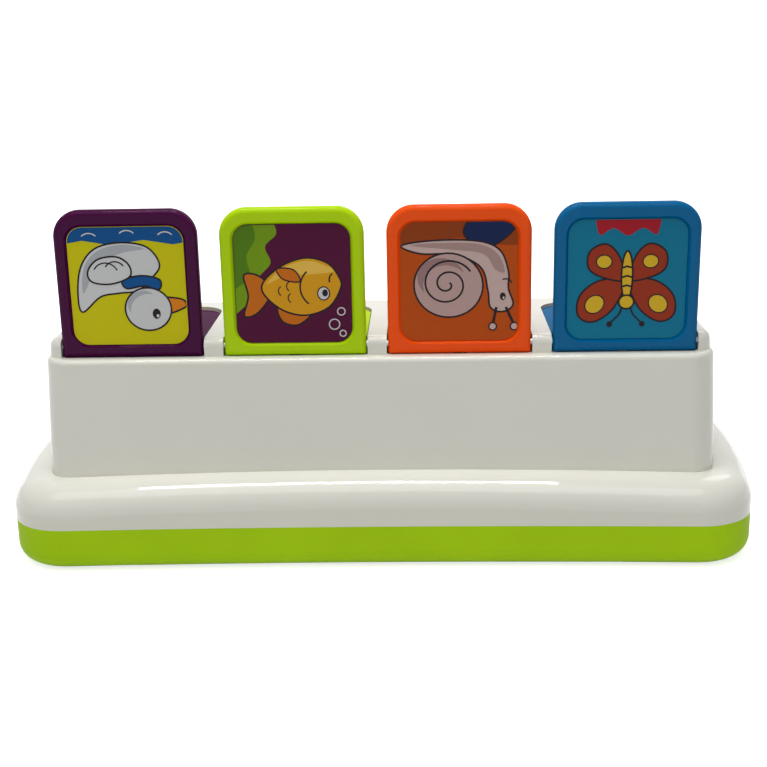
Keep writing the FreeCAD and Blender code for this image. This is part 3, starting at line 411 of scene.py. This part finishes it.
def draw_duck():
    """White duck with a blue scarf on a pond."""
    page = Print("purple")
    page.fill([(-30, -30), (30, -30), (30, -17.5), (18, -19.5), (6, -17.5), (-8, -19.5),
               (-20, -17.5), (-30, -19)], "lake")
    page.shape(smooth([(-4, 2), (4, 3), (12, 4.5), (20, 11), (21.5, 4), (19.5, -8), (13, -16),
                       (2, -18.5), (-9, -16.5), (-14, -9), (-10, -3)]), "pale")
    page.fill(smooth([(19, 3), (18, -8), (12, -15), (2, -17.6), (-8, -15.8), (2, -14), (12, -9)]),
              "pale_shade")
    page.shape(smooth([(-23.5, 9.5), (-15, 12), (-14, 5.5), (-21, 5.5), (-24, 7)]), "beak")
    page.shape(ellipse(-8, 10, 9.8, 9.2), "pale")
    page.fill(ellipse(-5.5, 7.5, 6.4, 5.4, 20), "pale_shade")
    page.fill(ellipse(-8.6, 10.6, 8.0, 7.2), "pale")
    page.shape(smooth([(-13, 1.6), (-7, 0), (0.5, 1), (2, -2.5), (-6, -4.4), (-13.6, -2.6)]), "scarf")
    page.shape(smooth([(-1, -4), (7, -1), (15, -2), (16.5, -6.5), (12, -11.5), (4, -12.5), (-1, -9)]),
               "pale")
    page.line(arc(9, -4.5, 5.5, 205, 330), 0.6, closed=False)
    page.line(arc(5, -6, 4.5, 215, 330), 0.6, closed=False)
    page.fill(ellipse(-11.4, 12, 1.7, 2.2), "outline")
    page.fill(ellipse(-11.9, 12.9, 0.6, 0.7), "pale")
    for x, y in ((-17, -18.6), (-1, -19.4), (15, -18.4)):
        page.line(arc(x, y, 4.2, 225, 315), 0.55, "pale", closed=False)
    page.finish()


def draw_fish():
    """Golden fish with bubbles, beside water weed."""
    page = Print("green")
    page.fill(smooth([(12, -30), (6, -22), (11, -16), (9, -9), (14, -3), (15, 5), (20, 9), (30, 12),
                      (30, -30)]), "weed")
    page.fill(smooth([(19, -30), (15, -20), (19, -12), (18, -4), (23, 1), (30, 2), (30, -30)]),
              "weed_shade")
    page.shape(smooth([(9, 3), (15, 12), (21, 13.5), (19, 5), (20.5, -4), (14, -3.5)]), "fin")
    page.shape(smooth([(-8, 11), (-2, 17.5), (5, 16), (6, 9)]), "fin")
    page.shape(smooth([(-20, 2), (-15, 10), (-5, 13.5), (5, 11), (12.5, 4), (12, -1.5), (4, -8),
                       (-6, -11), (-15, -8.5), (-19.5, -2.5)]), "fish")
    page.fill(smooth([(-17, -5), (-8, -4), (3, -3.5), (11, 0), (4, -6.8), (-6, -9.8), (-14, -7.6)]),
              "fish_belly")
    page.line(arc(-12, 1.5, 9, -48, 52), 0.7, closed=False)
    page.shape(smooth([(-3, -1), (4, -2), (6.5, -6.5), (-0.5, -6)]), "fin", 0.6)
    for x, y in ((0, 6), (4, 3), (0.5, 1)):
        page.line(arc(x, y, 2.2, -60, 60), 0.5, closed=False)
    page.shape(ellipse(-12.8, 4.2, 2.5, 2.8), "pale", 0.5)
    page.fill(ellipse(-13.4, 4.0, 1.2, 1.5), "outline")
    page.line(arc(-18.5, -1.6, 3.2, -55, 20), 0.6, closed=False)
    for x, y, radius in ((-20, 12, 1.6), (-17, 17.5, 2.2), (-20.5, 21.5, 1.3)):
        page.line(ellipse(x, y, radius, radius, steps=18), 0.5, "pale")
    page.finish()


def draw_snail():
    """Snail on the ground, in front of a dark bush."""
    page = Print("orange")
    page.fill(smooth([(-30, -30), (30, -30), (30, -18), (14, -16.5), (-2, -18.5), (-16, -15.5),
                      (-30, -17)]), "earth")
    page.shape(smooth([(-24, -24), (-16, -16), (-8, -15), (-2, -20), (-5, -26), (-18, -30)]), "navy")
    page.shape(smooth([(-22.5, 10), (-18, 13), (-13, 11), (-12, 4), (-9, -6), (2, -11.5), (16, -12),
                       (24, -15.5), (10, -17.5), (-8, -17), (-17, -13), (-20.5, -4), (-20.5, 3)]),
               "snail")
    page.fill(smooth([(-19, -4), (-16, -11.5), (-8, -15.8), (10, -16.4), (20, -15.4), (4, -13.6),
                      (-10, -11.6), (-15, -5)]), "snail_shade")
    page.shape(ellipse(4.5, 1.5, 14.4, 13.6, -8), "shell")
    page.fill(ellipse(7.5, -1.5, 10, 8.6, -8), "shell_shade")
    page.fill(ellipse(5.4, 1.6, 9.6, 8.6, -8), "shell")
    swirl = spiral(5, 1, 11.2, squash=0.95, start=-150, step=11.5, steps=64, steps_to_middle=70)
    page.line(swirl, 0.8, closed=False)
    for root_x, tip_x in ((-19.5, -23), (-15.5, -14)):
        page.line([(root_x, 11), ((root_x + tip_x) / 2, 15), (tip_x, 18.5)], 1.1, closed=False)
        page.shape(ellipse(tip_x, 19.3, 1.6, 1.6, steps=18), "snail", 0.6)
    page.fill(ellipse(-18.2, 6.4, 1.2, 1.6), "outline")
    page.fill(ellipse(-18.5, 7.0, 0.4, 0.5), "pale")
    page.line(arc(-19.4, 1.6, 2.6, 200, 300), 0.55, closed=False)
    page.finish()


def draw_butterfly():
    """Butterfly with spots, over a poppy."""
    upper_wing = ((1, 3), (6, 13), (14, 18), (20, 15), (19.5, 7), (13, 1), (4, -0.5))
    lower_wing = ((1, 0), (10, -1), (16, -5), (15.5, -12), (9, -15), (3.5, -10))
    feeler = ((0.8, 10), (3, 15), (6.5, 18.5))
    page = Print("blue")
    page.fill(smooth([(-11, -30), (11, -30), (12, -19), (6, -21.5), (0, -18.4), (-6, -21.5),
                      (-12, -19)]), "poppy")
    for side in (-1, 1):
        page.shape(smooth([(side * x, y) for x, y in upper_wing]), "wing")
        page.shape(smooth([(side * x, y) for x, y in lower_wing]), "wing")
        page.shape(ellipse(side * 13.2, 10.4, 4.2, 3.6, side * 40), "spot", 0.5)
        page.shape(ellipse(side * 9.6, -7.6, 3.2, 2.8), "spot", 0.5)
        page.line([(side * x, y) for x, y in feeler], 0.7, closed=False)
        page.fill(ellipse(side * 6.8, 19, 1.2, 1.2, steps=16), "outline")
    page.shape(ellipse(0, -1.5, 2.3, 10.5), "spot")
    for y in (3, -1, -5):
        page.line([(-2, y), (0, y - 0.6), (2, y)], 0.8, closed=False)
    page.shape(ellipse(0, 9.5, 3.1, 2.9), "spot")
    page.finish()


# ---------------------------------------------------------------- light, floor and sky

def sees_white(tree):
    """1 for rays from the camera and for those that metal and glass send on, else 0."""
    ray = tree.nodes.new("ShaderNodeLightPath")
    total = ray.outputs["Is Camera Ray"]
    for kind in ("Is Glossy Ray", "Is Transmission Ray"):
        either = tree.nodes.new("ShaderNodeMath")
        either.operation = "MAXIMUM"
        tree.links.new(total, either.inputs[0])
        tree.links.new(ray.outputs[kind], either.inputs[1])
        total = either.outputs[0]
    return total


def mix_by_ray(tree, plain, seen, surface):
    """Leads plain to the output's surface, and seen to it for the rays of sees_white."""
    mix = tree.nodes.new("ShaderNodeMixShader")
    tree.links.new(sees_white(tree), mix.inputs[0])
    tree.links.new(plain.outputs[0], mix.inputs[1])
    tree.links.new(seen.outputs[0], mix.inputs[2])
    tree.links.new(mix.outputs[0], surface)


def add_floor():
    """Grey floor, which the camera sees as white with the toy's shadow near the toy."""
    corners = [(x * FLOOR_HALF, y * FLOOR_HALF, 0) for x, y in ((-1, -1), (1, -1), (1, 1), (-1, 1))]
    data = bpy.data.meshes.new("floor")
    data.from_pydata(corners, [], [(0, 1, 2, 3)])
    floor = bpy.data.objects.new("floor", data)
    scene.collection.objects.link(floor)
    material = bpy.data.materials.new("floor")
    material.use_nodes = True
    nodes = material.node_tree.nodes
    links = material.node_tree.links
    shader = with_values(nodes["Principled BSDF"], {
        "Base Color": (FLOOR_GREY, FLOOR_GREY, FLOOR_GREY, 1),
        "Roughness": FLOOR_ROUGHNESS,
    })
    place = nodes.new("ShaderNodeTexCoord")
    reach = nodes.new("ShaderNodeVectorMath")
    reach.operation = "LENGTH"
    spread = with_values(nodes.new("ShaderNodeMapRange"), {
        "From Min": GLOW_START,
        "From Max": GLOW_FULL,
        "To Min": GLOW_NEAR,
    })
    glow = nodes.new("ShaderNodeEmission")
    links.new(place.outputs["Object"], reach.inputs[0])
    links.new(reach.outputs["Value"], spread.inputs["Value"])
    links.new(spread.outputs["Result"], glow.inputs["Strength"])
    both = nodes.new("ShaderNodeAddShader")
    links.new(shader.outputs[0], both.inputs[0])
    links.new(glow.outputs[0], both.inputs[1])
    mix_by_ray(material.node_tree, shader, both, nodes["Material Output"].inputs["Surface"])
    data.materials.append(material)


def add_sky():
    """Weak even light from all round, and a white background."""
    world = bpy.data.worlds.new("studio")
    scene.world = world
    world.use_nodes = True
    nodes = world.node_tree.nodes
    sky = with_values(nodes["Background"], {"Color": WHITE, "Strength": SKY_STRENGTH})
    white = with_values(nodes.new("ShaderNodeBackground"), {
        "Color": WHITE,
        "Strength": BACKGROUND_STRENGTH,
    })
    mix_by_ray(world.node_tree, sky, white, nodes["World Output"].inputs["Surface"])


def add_lamp(name, place, target, width, height, watts):
    """Rectangular lamp that points at a target."""
    data = bpy.data.lights.new(name, "AREA")
    data.shape = "RECTANGLE"
    data.size = width
    data.size_y = height
    data.energy = watts
    lamp = bpy.data.objects.new(name, data)
    scene.collection.objects.link(lamp)
    lamp.location = place
    lamp.rotation_euler = (Vector(target) - Vector(place)).to_track_quat("-Z", "Y").to_euler()


# ---------------------------------------------------------------- putting it together

FINISH = {
    "upper_shell": plastic("shell_white", (230, 229, 218), 0.2, shade=0.985, gloss=0.8),
    "base_tray": plastic("tray_green", (180, 224, 0), 0.2),
    "screws": metal("screw_steel", (150, 150, 148), 0.35),
    "rubber_feet": rubber("foot_rubber", (40, 40, 42)),
    "push_button": plastic("button_purple", (92, 26, 84), 0.2),
    "slide_switch": plastic("switch_green", (172, 213, 2), 0.2),
    "dial_knob": plastic("dial_orange", (226, 72, 12), 0.2),
    "flip_lever": plastic("lever_blue", (0, 96, 150), 0.2),
    "duck_body": plastic("duck_yellow", (240, 196, 30), 0.25),
    "duck_trim": plastic("duck_orange", (232, 110, 20), 0.25),
    "fish_body": plastic("fish_orange", (238, 122, 22), 0.25),
    "fish_fins": plastic("fish_red", (204, 42, 24), 0.25),
    "snail_house": plastic("snail_blue", (36, 120, 190), 0.25),
    "snail_body": plastic("snail_cream", (232, 206, 156), 0.25),
    "butterfly_wings": plastic("butterfly_pink", (222, 74, 124), 0.25),
    "butterfly_body": plastic("butterfly_violet", (92, 42, 128), 0.25),
}
steel = metal("rod_steel", (170, 170, 168), 0.25)
acetal = plastic("acetal", (224, 224, 216), 0.4)
for node in ("hinge_rod", "latch_rod", "lever_pin"):
    FINISH[node] = steel
FINISH["dial_cam"] = acetal
for colour in COLOURS:
    FINISH["lid_" + colour] = plastic("lid_" + colour, LID_COLOURS[colour], 0.18, shade=0.98)
    FINISH["label_" + colour] = printed("ground_" + colour, GROUND_COLOURS[colour])
    FINISH["latch_" + colour] = acetal
    FINISH["latch_spring_" + colour] = steel
    FINISH["lid_spring_" + colour] = steel
for node, material in FINISH.items():
    dress(node, material)

draw_duck()
draw_fish()
draw_snail()
draw_butterfly()
place_camera()
add_floor()
add_sky()
for lamp in LAMPS:
    add_lamp(**lamp)
